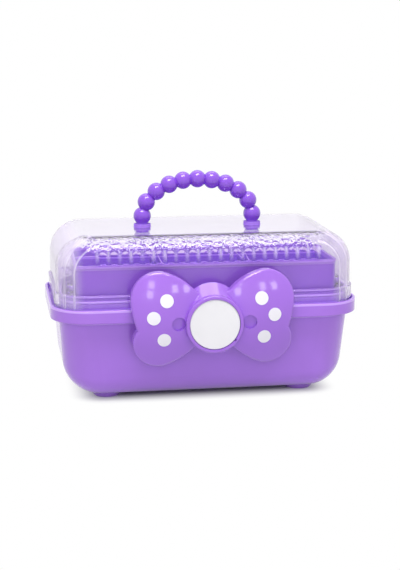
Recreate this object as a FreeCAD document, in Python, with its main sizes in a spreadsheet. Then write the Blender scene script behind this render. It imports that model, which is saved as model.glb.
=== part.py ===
import FreeCAD, Part
import Sketcher
import math
import os

# Tiered jewellery organizer: a tub on four low feet, a clear domed lid hinged at the
# back, two trays that rise with the lid on side arms, a beaded handle and a bow clasp.
# The origin is on the floor under the middle of the whole box, front towards -Y, up +Z.
# Depths are worked out from the middle of the tub, and each piece is set back at the end.

doc = FreeCAD.newDocument("JewelleryOrganizer")
sheet = doc.addObject("Spreadsheet::Sheet", "Sizes")

# Driving dimensions in millimetres, angles in degrees
DRIVING = {
    # shared by all pieces: how far a fused piece reaches into its neighbour, and how far
    # a cut runs past the face it opens
    "join_depth": 0.5,
    "overcut": 1.0,
    # tub and its rim
    "rim_half_x": 122.5,
    "rim_half_y": 70.0,
    "rim_corner": 31.0,
    "rim_top": 76.2,
    "rim_drop": 10.6,
    "rim_wall": 2.0,
    "rim_edge_round": 0.7,
    "ledge_drop": 4.5,
    "ledge_thick": 2.0,
    "tub_inset": 6.2,
    "tub_taper": 5.0,
    "tub_wall": 2.2,
    "tub_floor_corner": 30.0,
    "floor_round_front": 15.0,
    "floor_round_end": 26.0,
    "foot_height": 4.5,
    "foot_ball_radius": 14.0,
    "foot_ball_height": 9.8,
    "foot_from_end": 44.0,
    "foot_from_front": 37.0,
    "lip_inset": 7.9,
    "lip_rise": 4.0,
    "lip_wall": 1.6,
    # clear lid
    "lid_inset": 4.7,
    "lid_wall": 2.0,
    "lid_height": 54.0,
    "lid_seat_gap": 0.4,
    "shoulder_front": 19.0,
    "shoulder_end": 25.0,
    "band_out": 1.5,
    "band_lift": 1.0,
    "band_height": 9.5,
    "flute_pitch": 8.7,
    "flute_end_room": 35.0,
    "flute_radius": 10.0,
    "flute_start": 60.0,
    "flute_end": 93.0,
    "lid_boss_radius": 4.2,
    "lid_boss_bore": 5.0,
    "lid_boss_gap": 0.4,
    # rear hinge
    "hinge_out": 5.5,
    "hinge_drop": 6.5,
    "hinge_from_end": 62.5,
    "knuckle_radius": 4.0,
    "hinge_pin_radius": 1.6,
    "tub_knuckle_half": 8.0,
    "lid_knuckle_half": 16.0,
    "knuckle_gap": 0.4,
    # trays and the arms that carry them
    "tray_end_room": 19.5,
    "tray_front_room": 14.0,
    "tray_back_room": 22.0,
    "upper_corner": 5.0,
    "lower_corner": 26.0,
    "tray_wall": 1.8,
    "tray_floor": 1.8,
    "partition_drop": 1.2,
    "upper_tray_lift": 4.3,
    "upper_tray_depth": 24.2,
    "lower_tray_depth": 13.0,
    "tray_gap": 0.8,
    "lip_bead": 0.7,
    "lip_bead_height": 2.4,
    "crank_back": 50.0,
    "upper_pin_inset": 10.0,
    "upper_pin_lift": 5.2,
    "arm_spacing": 26.0,
    "arm_side_gap": 1.8,
    "arm_thick": 2.0,
    "arm_half_width": 3.6,
    "arm_pin_radius": 2.0,
    "arm_pin_inset": 0.6,
    "pivot_collar_gap": 1.0,
    "pin_clearance": 0.1,
    "pin_side_gap": 0.2,
    "pin_head_lip": 0.7,
    "pin_head_thick": 0.7,
    # handle
    "handle_forward": 3.5,
    "handle_half_span": 45.1,
    "handle_rise": 29.1,
    "bead_radius": 7.1,
    "bead_count": 11.0,
    "handle_seat_radius": 6.8,
    "handle_seat_height": 2.5,
    "handle_bead_lift": 6.4,
    "spigot_radius": 4.9,
    "button_radius": 6.5,
    "button_height": 3.6,
    "button_recess": 1.5,
    "handle_screw_radius": 1.2,
    "handle_screw_length": 9.0,
    "screw_head_lip": 1.4,
    "screw_head_height": 1.4,
    "screw_clearance": 0.2,
    # bow clasp, with heights above or below the middle of its ring
    "bow_gap": 3.5,
    "bow_swell": 15.5,
    "bow_dome_radius": 70.0,
    "bow_dome_x": 36.0,
    "bow_dome_rise": 3.7,
    "bow_wall": 2.0,
    "bow_edge_round": 2.4,
    "upper_lobe_x": 41.5,
    "upper_lobe_rise": 17.7,
    "upper_lobe_radius": 22.0,
    "crown_turn": 100.0,
    "flank_turn": -6.0,
    "lower_lobe_x": 42.7,
    "lower_lobe_drop": 15.2,
    "lower_lobe_radius": 19.2,
    "waist_turn": 33.0,
    "sole_turn": -105.0,
    "upper_join_x": 13.2,
    "upper_join_rise": 24.5,
    "upper_join_bulge": 2.2,
    "upper_join_depth": 4.0,
    "waist_bulge": 0.7,
    "lower_join_x": 15.6,
    "lower_join_drop": 20.3,
    "lower_join_bulge": 1.2,
    "lower_join_depth": 6.0,
    "ring_drop": 9.2,
    "ring_proud": 2.0,
    "ring_depth": 5.0,
    "ring_wall": 2.7,
    "ring_round": 1.2,
    "knot_radius": 22.4,
    "knot_wall": 3.5,
    "knot_back_rise": 7.2,
    "knot_hollow_rise": 0.7,
    "knot_plate": 3.0,
    "badge_thick": 2.6,
    "badge_sink": 0.5,
    "badge_gap": 0.3,
    "badge_edge_round": 0.6,
    "notch_radius": 1.2,
    "notch_turn": 38.5,
    "dimple_x": 27.5,
    "dimple_rise": 0.7,
    "dimple_radius": 5.4,
    "dimple_depth": 2.6,
    "dot_radius": 5.15,
    "dot_depth": 1.0,
    "dot_proud": 0.25,
    "dot_one_x": 36.6,
    "dot_one_rise": 18.9,
    "dot_two_x": 46.8,
    "dot_two_rise": 5.9,
    "dot_three_x": 38.8,
    "dot_three_rise": -11.4,
    "latch_out": 3.5,
    "latch_rise": 0.7,
    "latch_pin_radius": 1.5,
    "rivet_lip": 0.8,
    "lug_radius": 4.0,
    "lug_inner_x": 13.6,
    "lug_thick": 3.6,
    "bearing_thick": 3.4,
    "bearing_gap": 0.6,
    "bearing_reach": 3.5,
    "hook_half_x": 6.0,
    "hook_clearance": 0.4,
    "hook_reach_gap": 0.3,
    "hook_thick": 3.6,
    "hook_nose": 1.2,
    "hook_lead": 3.2,
    "hook_root_drop": 3.2,
}

for row, (alias, number) in enumerate(DRIVING.items(), start=1):
    sheet.set("A%d" % row, alias)
    sheet.set("B%d" % row, str(number))
    sheet.setAlias("B%d" % row, alias)
doc.recompute()


class Measure:
    """A length kept both as a number and as the sheet expression that gives it."""

    def __init__(self, number, text):
        self.number = float(number)
        self.text = text

    def __float__(self):
        return self.number

    def __add__(self, other):
        other = as_measure(other)
        return Measure(self.number + other.number, "(%s + %s)" % (self.text, other.text))

    def __sub__(self, other):
        other = as_measure(other)
        return Measure(self.number - other.number, "(%s - %s)" % (self.text, other.text))

    def __mul__(self, factor):
        return Measure(self.number * factor, "(%s * %s)" % (self.text, factor))

    def __neg__(self):
        return Measure(-self.number, "(0 - %s)" % self.text)


def as_measure(value):
    """A plain number as a measure, so that sums may mix the two."""
    if isinstance(value, Measure):
        return value
    return Measure(value, "(%s)" % value)


def cell(alias):
    """The measure held by one cell of the sheet."""
    return Measure(float(sheet.get(alias)), "Sizes.%s" % alias)


def vector(x, y, z):
    return FreeCAD.Vector(float(x), float(y), float(z))


# Places that several pieces share
ZERO = as_measure(0)
LEFT_AND_RIGHT = ((-1, "left"), (1, "right"))
rim_base = cell("rim_top") - cell("rim_drop")
ledge_top = cell("rim_top") - cell("ledge_drop")
lip_top = cell("rim_top") + cell("lip_rise")
tub_half_x = cell("rim_half_x") - cell("tub_inset")
tub_half_y = cell("rim_half_y") - cell("tub_inset")
tub_corner = cell("rim_corner") - cell("tub_inset")
lip_half_x = cell("rim_half_x") - cell("lip_inset")
lip_half_y = cell("rim_half_y") - cell("lip_inset")
lip_corner = cell("rim_corner") - cell("lip_inset")
foot_x = cell("rim_half_x") - cell("foot_from_end")
foot_y = cell("rim_half_y") - cell("foot_from_front")
lid_half_x = cell("rim_half_x") - cell("lid_inset")
lid_half_y = cell("rim_half_y") - cell("lid_inset")
lid_corner = cell("rim_corner") - cell("lid_inset")
lid_base = ledge_top + cell("lid_seat_gap")
lid_top = cell("rim_top") + cell("lid_height")
lid_inner_top = lid_top - cell("lid_wall")
band_low = cell("rim_top") + cell("band_lift")
band_high = band_low + cell("band_height")
hinge_x = cell("rim_half_x") - cell("hinge_from_end")
hinge_y = cell("rim_half_y") + cell("hinge_out")
hinge_z = cell("rim_top") - cell("hinge_drop")
hinge_back = hinge_y + cell("knuckle_radius")
tray_half_x = cell("rim_half_x") - cell("tray_end_room")
tray_front = cell("rim_half_y") - cell("tray_front_room")
tray_back = cell("rim_half_y") - cell("tray_back_room")
tray_middle_y = (tray_back - tray_front) * 0.5
tray_half_y = (tray_back + tray_front) * 0.5
upper_base = lip_top + cell("upper_tray_lift")
upper_top = upper_base + cell("upper_tray_depth")
lower_top = upper_base - cell("tray_gap")
lower_base = lower_top - cell("lower_tray_depth")
arm_inner_x = tray_half_x + cell("arm_side_gap")
arm_outer_x = arm_inner_x + cell("arm_thick")
boss_inner_x = tray_half_x + cell("lip_bead") + cell("lid_boss_gap")
hole_radius = cell("arm_pin_radius") + cell("pin_clearance")

# The lid is a crank about the hinge, and the arms repeat it: each turns as the lid does
upper_pin_y = cell("upper_pin_inset") - tray_front
upper_pin_z = upper_base + cell("upper_pin_lift")
crank_rise = upper_pin_z - hinge_z
arm_pivot_z = hinge_z
front_arm_y = upper_pin_y + cell("crank_back")
rear_arm_y = front_arm_y + cell("arm_spacing")
lid_pivot_y = hinge_y - cell("crank_back")
lid_pivot_z = hinge_z + crank_rise
lower_pin_z = arm_pivot_z + crank_rise * 0.5
front_lower_pin_y = front_arm_y - cell("crank_back") * 0.5
rear_lower_pin_y = rear_arm_y - cell("crank_back") * 0.5

handle_y = -cell("handle_forward")
handle_seat_top = lid_top + cell("handle_seat_height")
handle_base_z = handle_seat_top + cell("handle_bead_lift")
button_base_z = lid_inner_top - cell("button_height")

bow_back = cell("rim_half_y") + cell("bow_gap")
bow_dome_front = bow_back + cell("bow_swell")
ring_front = bow_dome_front + cell("ring_proud")
ring_back = ring_front - cell("ring_depth")
ring_z = cell("rim_top") - cell("ring_drop")
knot_back_z = ring_z + cell("knot_back_rise")
badge_radius = cell("knot_radius") - cell("ring_wall") - cell("badge_gap")
badge_seat = ring_front - cell("badge_sink") - cell("badge_thick")
latch_y = bow_back + cell("latch_out")
latch_z = ring_z + cell("latch_rise")
lug_outer_x = cell("lug_inner_x") + cell("lug_thick")
set_back = (ring_front - hinge_back) * 0.5


def bind(thing, settings):
    """Bind properties of an object to sheet expressions."""
    for name, measure in settings.items():
        thing.setExpression(name, as_measure(measure).text)


# Sketch helpers

def flat_sketch(name, height):
    """A horizontal sketch at a height: its x and y are the object's X and Y."""
    sketch = doc.addObject("Sketcher::SketchObject", name)
    sketch.Placement = FreeCAD.Placement(vector(0, 0, height), FreeCAD.Rotation())
    bind(sketch, {"Placement.Base.z": height})
    return sketch


def side_sketch(name, across=ZERO):
    """An upright sketch facing +X: its x and y are the object's Y and Z."""
    sketch = doc.addObject("Sketcher::SketchObject", name)
    turn = FreeCAD.Rotation(vector(0, 1, 0), vector(0, 0, 1), vector(1, 0, 0), "ZXY")
    sketch.Placement = FreeCAD.Placement(vector(across, 0, 0), turn)
    bind(sketch, {"Placement.Base.x": across})
    return sketch


def front_sketch(name, forward):
    """An upright sketch facing the front: its x and y are the object's X and Z."""
    sketch = doc.addObject("Sketcher::SketchObject", name)
    turn = FreeCAD.Rotation(vector(1, 0, 0), vector(0, 0, 1), vector(0, -1, 0), "ZXY")
    sketch.Placement = FreeCAD.Placement(vector(0, -forward.number, 0), turn)
    bind(sketch, {"Placement.Base.y": -forward})
    return sketch


def body_sketch(body, name, role, offset=ZERO):
    """A sketch on one of the body's own origin planes, moved along the plane's normal."""
    sketch = body.newObject("Sketcher::SketchObject", name)
    plane = [item for item in body.Origin.OriginFeatures if item.Role == role][0]
    sketch.AttachmentSupport = [(plane, "")]
    sketch.MapMode = "FlatFace"
    sketch.AttachmentOffset = FreeCAD.Placement(vector(0, 0, offset), FreeCAD.Rotation())
    bind(sketch, {"AttachmentOffset.Base.z": offset})
    return sketch


def fix(sketch, kind, *entries):
    """Add a driving constraint whose last entry is a measure bound to the sheet."""
    measure = as_measure(entries[-1])
    places = entries[:-1]
    if measure.number < 0 and kind in ("DistanceX", "DistanceY"):
        measure = -measure
        places = places[2:] + places[:2]
    index = sketch.addConstraint(Sketcher.Constraint(kind, *places, measure.number))
    sketch.setExpression("Constraints[%d]" % index, measure.text)


def locate(sketch, geometry, point, x, y):
    """Place a point of a sketch element by its two coordinates."""
    fix(sketch, "DistanceX", -1, 1, geometry, point, x)
    fix(sketch, "DistanceY", -1, 1, geometry, point, y)


def rounded_rectangle(sketch, half_x, half_y, corner, middle_x=ZERO, middle_y=ZERO):
    """A rectangle with round corners, about a middle point."""
    west, east = middle_x - half_x, middle_x + half_x
    south, north = middle_y - half_y, middle_y + half_y
    x0, x1, y0, y1, r = [float(edge) for edge in (west, east, south, north, corner)]
    sides = [
        Part.LineSegment(vector(x0 + r, y0, 0), vector(x1 - r, y0, 0)),
        Part.LineSegment(vector(x1, y0 + r, 0), vector(x1, y1 - r, 0)),
        Part.LineSegment(vector(x1 - r, y1, 0), vector(x0 + r, y1, 0)),
        Part.LineSegment(vector(x0, y1 - r, 0), vector(x0, y0 + r, 0)),
    ]
    centres = [(x1 - r, y0 + r), (x1 - r, y1 - r), (x0 + r, y1 - r), (x0 + r, y0 + r)]
    arcs = []
    for quarter, (x, y) in enumerate(centres):
        circle = Part.Circle(vector(x, y, 0), vector(0, 0, 1), r)
        start = math.radians(90 * quarter - 90)
        arcs.append(Part.ArcOfCircle(circle, start, start + math.pi / 2))
    first = sketch.GeometryCount
    sketch.addGeometry(sides + arcs)
    for quarter in range(4):
        side = first + quarter
        arc = first + 4 + quarter
        after = first + (quarter + 1) % 4
        sketch.addConstraint(Sketcher.Constraint("Tangent", side, 2, arc, 1))
        sketch.addConstraint(Sketcher.Constraint("Tangent", arc, 2, after, 1))
        direction = "Horizontal" if quarter % 2 == 0 else "Vertical"
        sketch.addConstraint(Sketcher.Constraint(direction, side))
        if quarter:
            sketch.addConstraint(Sketcher.Constraint("Equal", first + 4, arc))
    fix(sketch, "Radius", first + 4, corner)
    fix(sketch, "DistanceY", -1, 1, first, 1, south)
    fix(sketch, "DistanceX", -1, 1, first + 1, 1, east)
    fix(sketch, "DistanceY", -1, 1, first + 2, 1, north)
    fix(sketch, "DistanceX", -1, 1, first + 3, 1, west)


def circle(sketch, x, y, radius):
    """A circle placed by its centre."""
    index = sketch.addGeometry(Part.Circle(vector(x, y, 0), vector(0, 0, 1), float(radius)))
    locate(sketch, index, 3, x, y)
    fix(sketch, "Radius", index, radius)


def polygon(sketch, corners):
    """A closed outline of straight sides through placed corners."""
    first = sketch.GeometryCount
    count = len(corners)
    for index in range(count):
        here, after = corners[index], corners[(index + 1) % count]
        sketch.addGeometry(Part.LineSegment(vector(*here, 0), vector(*after, 0)))
    for index in range(count):
        after = first + (index + 1) % count
        sketch.addConstraint(Sketcher.Constraint("Coincident", first + index, 2, after, 1))
        locate(sketch, first + index, 1, *corners[index])


def stadium(sketch, start, end, radius):
    """A link outline: two half circles about two points, joined by tangent sides."""
    x0, y0, x1, y1, r = [float(value) for value in (*start, *end, radius)]
    along = math.atan2(y1 - y0, x1 - x0)
    dx, dy = -math.sin(along) * r, math.cos(along) * r
    quarter = math.pi / 2
    near = Part.Circle(vector(x0, y0, 0), vector(0, 0, 1), r)
    far = Part.Circle(vector(x1, y1, 0), vector(0, 0, 1), r)
    first = sketch.GeometryCount
    sketch.addGeometry([
        Part.ArcOfCircle(near, along + quarter, along + 3 * quarter),
        Part.LineSegment(vector(x0 - dx, y0 - dy, 0), vector(x1 - dx, y1 - dy, 0)),
        Part.ArcOfCircle(far, along - quarter, along + quarter),
        Part.LineSegment(vector(x1 + dx, y1 + dy, 0), vector(x0 + dx, y0 + dy, 0)),
    ])
    for index in range(4):
        after = first + (index + 1) % 4
        sketch.addConstraint(Sketcher.Constraint("Tangent", first + index, 2, after, 1))
    locate(sketch, first, 3, *start)
    locate(sketch, first + 2, 3, *end)
    fix(sketch, "Radius", first, radius)


# Solid helpers

def prism(name, sketch, length, both_ways=False):
    """A sketch drawn out along its own normal."""
    solid = doc.addObject("Part::Extrusion", name)
    solid.Base = sketch
    solid.DirMode = "Normal"
    solid.Solid = True
    solid.Symmetric = both_ways
    bind(solid, {"LengthFwd": length})
    return solid


def cylinder(name, radius, length, x, y, z, along):
    """A cylinder that starts at a point and runs along X, Y or Z."""
    solid = doc.addObject("Part::Cylinder", name)
    turns = {
        "x": FreeCAD.Rotation(vector(0, 1, 0), 90),
        "y": FreeCAD.Rotation(vector(1, 0, 0), -90),
        "z": FreeCAD.Rotation(),
    }
    solid.Placement = FreeCAD.Placement(vector(0, 0, 0), turns[along])
    bind(solid, {
        "Radius": radius,
        "Height": length,
        "Placement.Base.x": x,
        "Placement.Base.y": y,
        "Placement.Base.z": z,
    })
    return solid


def box(name, x0, x1, y0, y1, z0, z1):
    """A box between two corners."""
    solid = doc.addObject("Part::Box", name)
    bind(solid, {
        "Length": as_measure(x1) - x0,
        "Width": as_measure(y1) - y0,
        "Height": as_measure(z1) - z0,
        "Placement.Base.x": x0,
        "Placement.Base.y": y0,
        "Placement.Base.z": z0,
    })
    return solid


def sphere(name, radius, x, y, z):
    """A ball about a point."""
    solid = doc.addObject("Part::Sphere", name)
    bind(solid, {
        "Radius": radius,
        "Placement.Base.x": x,
        "Placement.Base.y": y,
        "Placement.Base.z": z,
    })
    return solid


def fuse(name, pieces):
    solid = doc.addObject("Part::MultiFuse", name)
    solid.Shapes = pieces
    solid.Refine = True
    return solid


def cut(name, base, tool):
    solid = doc.addObject("Part::Cut", name)
    solid.Base = base
    solid.Tool = tool
    return solid


def common(name, pieces):
    solid = doc.addObject("Part::MultiCommon", name)
    solid.Shapes = pieces
    return solid


def round_edges(name, base, chosen):
    """Round edges of a solid: chosen gives each edge's two end radii, or nothing."""
    doc.recompute()
    solid = doc.addObject("Part::Fillet", name)
    solid.Base = base
    radii = []
    for index, edge in enumerate(base.Shape.Edges, start=1):
        pair = chosen(edge)
        if pair:
            radii.append((index, pair[0], pair[1]))
    solid.Edges = radii
    return solid


def at_height(edge, height):
    """Whether an edge lies in a horizontal plane."""
    limits = edge.BoundBox
    return abs(limits.ZMin - float(height)) < 0.01 and abs(limits.ZMax - float(height)) < 0.01


def rounded_block(name, half_x, half_y, corner, base, top, front_round, end_round, low=None):
    """A block with round corners whose top or bottom edge is rounded more at the ends.

    Without low it is a straight block, rounded at its top. With low, a (half_x,
    half_y, corner) of its bottom, it tapers down to that and is rounded there.
    """
    upper = flat_sketch(name + "_upper", top)
    rounded_rectangle(upper, half_x, half_y, corner)
    if low:
        lower = flat_sketch(name + "_lower", base)
        rounded_rectangle(lower, *low)
        block = doc.addObject("Part::Loft", name + "_block")
        block.Sections = [lower, upper]
        block.Solid = True
        block.Ruled = True
        rounded_at, reach_x, reach_y = base, low[0], low[1]
    else:
        upper.Placement = FreeCAD.Placement(vector(0, 0, base), FreeCAD.Rotation())
        bind(upper, {"Placement.Base.z": base})
        block = prism(name + "_block", upper, top - base)
        rounded_at, reach_x, reach_y = top, half_x, half_y

    def radius_at(point):
        """Front radius on the long sides, end radius on the short sides."""
        if abs(abs(point.y) - reach_y.number) < 0.01:
            return float(front_round)
        return float(end_round)

    def chosen(edge):
        if not at_height(edge, rounded_at):
            return None
        first = edge.valueAt(edge.FirstParameter)
        last = edge.valueAt(edge.LastParameter)
        return radius_at(first), radius_at(last)

    return round_edges(name, block, chosen)


def ring(name, base, top, half_x, half_y, corner, wall):
    """An upright wall that follows a rectangle with round corners."""
    sketch = flat_sketch(name + "_plan", base)
    rounded_rectangle(sketch, half_x, half_y, corner)
    rounded_rectangle(sketch, half_x - wall, half_y - wall, corner - wall)
    return prism(name, sketch, top - base)


def side_profile(name, outline, middle_x, half_length):
    """A solid drawn out along X to both sides of a middle plane."""
    sketch = side_sketch(name + "_outline", middle_x)
    for shape, *values in outline:
        shape(sketch, *values)
    return prism(name, sketch, half_length * 2, both_ways=True)


def finish(label, solid):
    """Label a finished sub-part and set it back so that the origin is under the middle."""
    solid.Label = label
    bind(solid, {"Placement.Base.y": set_back})
    SUB_PARTS.append(solid)


SUB_PARTS = []


# Tub: tapered bowl, ledge, hanging rim, inner lip, feet, hinge knuckles and clasp lugs

def make_tub():
    low = (tub_half_x - cell("tub_taper"), tub_half_y - cell("tub_taper"), cell("tub_floor_corner"))
    outside = rounded_block(
        "tub_outside", tub_half_x, tub_half_y, tub_corner, cell("foot_height"),
        ledge_top, cell("floor_round_front"), cell("floor_round_end"), low=low)
    wall = cell("tub_wall")
    inside_low = (low[0] - wall, low[1] - wall, low[2] - wall)
    inside = rounded_block(
        "tub_inside", lip_half_x - cell("lip_wall"), lip_half_y - cell("lip_wall"),
        lip_corner - cell("lip_wall"), cell("foot_height") + wall, lip_top,
        cell("floor_round_front") - wall, cell("floor_round_end") - wall, low=inside_low)
    skirt_wall = ring(
        "rim_skirt_wall", rim_base, cell("rim_top"), cell("rim_half_x"), cell("rim_half_y"),
        cell("rim_corner"), cell("rim_wall"))

    def outer_edges(edge):
        level = at_height(edge, cell("rim_top")) or at_height(edge, rim_base)
        middle = edge.valueAt((edge.FirstParameter + edge.LastParameter) / 2)
        beyond_x = abs(middle.x) - cell("rim_half_x").number + cell("rim_corner").number
        beyond_y = abs(middle.y) - cell("rim_half_y").number + cell("rim_corner").number
        if min(beyond_x, beyond_y) > 0:
            reach = math.hypot(beyond_x, beyond_y)
        else:
            reach = max(beyond_x, beyond_y)
        if level and reach > cell("rim_corner").number - 0.1:
            return cell("rim_edge_round").number, cell("rim_edge_round").number
        return None

    skirt = round_edges("rim_skirt", skirt_wall, outer_edges)
    ledge = ring(
        "rim_ledge", ledge_top - cell("ledge_thick"), ledge_top,
        cell("rim_half_x") - cell("rim_wall"), cell("rim_half_y") - cell("rim_wall"),
        cell("rim_corner") - cell("rim_wall"),
        cell("lip_inset") + cell("lip_wall") - cell("rim_wall"))
    lip = ring(
        "inner_lip", ledge_top - cell("ledge_thick"), lip_top, lip_half_x, lip_half_y,
        lip_corner, cell("lip_wall") + cell("overcut"))
    pieces = [outside, skirt, ledge, lip]
    for side_x, side in LEFT_AND_RIGHT:
        for side_y, end in ((-1, "front"), (1, "back")):
            pieces.append(sphere(
                "foot_%s_%s" % (end, side), cell("foot_ball_radius"), foot_x * side_x,
                foot_y * side_y, cell("foot_ball_height")))
    for side_x, side in LEFT_AND_RIGHT:
        web_front = cell("rim_half_y") - cell("join_depth")
        web = (polygon, [
            (web_front, hinge_z - cell("knuckle_radius")),
            (hinge_y, hinge_z - cell("knuckle_radius")),
            (hinge_y, hinge_z + cell("knuckle_radius")),
            (web_front, hinge_z + cell("knuckle_radius")),
        ])
        middle = hinge_x * side_x
        pieces.append(side_profile("tub_hinge_web_" + side, [web], middle, cell("tub_knuckle_half")))
        barrel = (circle, hinge_y, hinge_z, cell("knuckle_radius"))
        pieces.append(side_profile("tub_barrel_" + side, [barrel], middle, cell("tub_knuckle_half")))
        lug_middle = (cell("lug_inner_x") + cell("lug_thick") * 0.5) * side_x
        lug = (stadium, (-latch_y, latch_z),
               (-cell("rim_half_y") + cell("join_depth"), latch_z), cell("lug_radius"))
        pieces.append(side_profile("clasp_lug_" + side, [lug], lug_middle, cell("lug_thick") * 0.5))
    solid = fuse("tub_solid", pieces)
    bores = []
    for side_x, side in LEFT_AND_RIGHT:
        bore = (circle, hinge_y, hinge_z, cell("hinge_pin_radius") + cell("pin_clearance"))
        bores.append(side_profile(
            "tub_hinge_bore_" + side, [bore], hinge_x * side_x,
            cell("tub_knuckle_half") + cell("overcut")))
    for name, pivot_y in (("front", front_arm_y), ("rear", rear_arm_y)):
        bore = (circle, pivot_y, arm_pivot_z, cell("arm_pin_radius"))
        bores.append(side_profile("arm_bore_" + name, [bore], ZERO, tub_half_x))
    lug_bore = (circle, -latch_y, latch_z, cell("latch_pin_radius"))
    bores.append(side_profile("lug_bore", [lug_bore], ZERO, lug_outer_x + cell("overcut")))
    below_feet = box(
        "below_feet", -tub_half_x, tub_half_x, -tub_half_y, tub_half_y,
        -cell("foot_ball_radius"), ZERO)
    hollow = fuse("tub_hollow", [inside, below_feet] + bores)
    finish("tub", cut("tub_body", solid, hollow))


make_tub()


# Clear lid: domed shell with a fluted front shoulder, a band, knuckles and pivot bosses

FLUTE_COUNT = int((cell("rim_half_x") - cell("flute_end_room")).number * 2 / cell("flute_pitch").number)


def lid_flute(number):
    """One shallow scallop across the front shoulder, cut by a long cylinder."""
    start, end = cell("flute_start").number, cell("flute_end").number
    middle = math.radians((start + end) / 2)
    half_sweep = math.radians((end - start) / 2)
    shoulder = cell("shoulder_front").number
    away = shoulder * math.cos(half_sweep) + cell("flute_radius").number
    centre_y = shoulder - lid_half_y.number - away * math.sin(middle)
    centre_z = lid_top.number - shoulder + away * math.cos(middle)
    length = shoulder * 2
    across = (number - (FLUTE_COUNT - 1) / 2) * cell("flute_pitch").number
    flute = doc.addObject("Part::Cylinder", "flute_%d" % number)
    along = vector(0, math.cos(middle), math.sin(middle))
    foot = vector(across, centre_y, centre_z) - along * (length / 2)
    flute.Placement = FreeCAD.Placement(foot, FreeCAD.Rotation(vector(0, 0, 1), along))
    bind(flute, {"Radius": cell("flute_radius"), "Height": cell("shoulder_front") * 2})
    return flute


def make_lid():
    wall, join, overcut = cell("lid_wall"), cell("join_depth"), cell("overcut")
    outside = rounded_block(
        "lid_outside", lid_half_x, lid_half_y, lid_corner, lid_base, lid_top,
        cell("shoulder_front"), cell("shoulder_end"))
    inside = rounded_block(
        "lid_inside", lid_half_x - wall, lid_half_y - wall, lid_corner - wall,
        lid_base - overcut, lid_inner_top, cell("shoulder_front") - wall,
        cell("shoulder_end") - wall)
    flutes = fuse("flutes", [lid_flute(number) for number in range(FLUTE_COUNT)])
    shell = cut("lid_shell", cut("lid_fluted", outside, flutes), inside)
    band = ring(
        "lid_band", band_low, band_high, lid_half_x + cell("band_out"),
        lid_half_y + cell("band_out"), lid_corner + cell("band_out"), cell("band_out") + join)
    pieces = [shell, band]
    knuckle_low = cell("tub_knuckle_half") + cell("knuckle_gap")
    knuckle_half = (cell("lid_knuckle_half") - knuckle_low) * 0.5
    barrel_front = hinge_y - cell("knuckle_radius")
    strap_front = lid_half_y - join
    bores = []
    for side_x, side in LEFT_AND_RIGHT:
        for place, name in ((-1, "outer"), (1, "inner")):
            middle = hinge_x * side_x + (knuckle_low + knuckle_half) * place
            strap = (polygon, [
                (strap_front, band_low),
                (barrel_front, band_low),
                (barrel_front, hinge_z),
                (hinge_back, hinge_z),
                (hinge_back, band_low + join),
                (cell("rim_half_y"), band_high),
                (strap_front, band_high),
            ])
            label = "%s_%s" % (name, side)
            pieces.append(side_profile("strap_" + label, [strap], middle, knuckle_half))
            barrel = (circle, hinge_y, hinge_z, cell("knuckle_radius"))
            pieces.append(side_profile("lid_barrel_" + label, [barrel], middle, knuckle_half))
            bore = (circle, hinge_y, hinge_z, cell("hinge_pin_radius"))
            bores.append(side_profile(
                "lid_hinge_bore_" + label, [bore], middle, knuckle_half + overcut))
        seat_x = cell("handle_half_span") * side_x
        pieces.append(cylinder(
            "handle_seat_" + side, cell("handle_seat_radius"), cell("handle_seat_height") + join,
            seat_x, handle_y, lid_top - join, "z"))
        bores.append(cylinder(
            "handle_bore_" + side, cell("spigot_radius") + cell("pin_clearance"),
            handle_seat_top - lid_inner_top + overcut * 2, seat_x, handle_y,
            lid_inner_top - overcut, "z"))
        boss_outer_x = lid_half_x - join
        pieces.append(cylinder(
            "tray_boss_" + side, cell("lid_boss_radius"), boss_outer_x - boss_inner_x,
            boss_inner_x if side_x > 0 else -boss_outer_x, lid_pivot_y, lid_pivot_z, "x"))
        bore_outer_x = boss_inner_x + cell("lid_boss_bore")
        bores.append(cylinder(
            "tray_boss_bore_" + side, cell("arm_pin_radius"), cell("lid_boss_bore"),
            boss_inner_x if side_x > 0 else -bore_outer_x, lid_pivot_y, lid_pivot_z, "x"))
    finish("lid", cut("lid_body", fuse("lid_solid", pieces), fuse("lid_bores", bores)))


make_lid()


# Trays: two open boxes with rounded corners and fixed partitions

def pad(body, name, sketch, length):
    feature = body.newObject("PartDesign::Pad", name)
    feature.Profile = sketch
    bind(feature, {"Length": length})
    return feature


def pocket(body, name, sketch, length, both_ways=False):
    feature = body.newObject("PartDesign::Pocket", name)
    feature.Profile = sketch
    if both_ways:
        feature.SideType = "Symmetric"
    bind(feature, {"Length": length})
    return feature


def must_cut(body, feature, before):
    """A pocket that points away from its solid removes nothing, so compare volumes."""
    doc.recompute()
    if body.Shape.Volume > before - 1.0:
        raise RuntimeError("%s removes nothing" % feature.Name)


def partition_walls(body, label, level, height, middles, half_x, half_y):
    """Upright walls inside a tray, all alike, standing on its floor."""
    plan = body_sketch(body, label, "XY_Plane", level)
    for middle_x, middle_y in middles:
        west, east = middle_x - half_x, middle_x + half_x
        south, north = middle_y - half_y, middle_y + half_y
        polygon(plan, [(west, south), (east, south), (east, north), (west, north)])
    pad(body, label + "_walls", plan, height)


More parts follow.
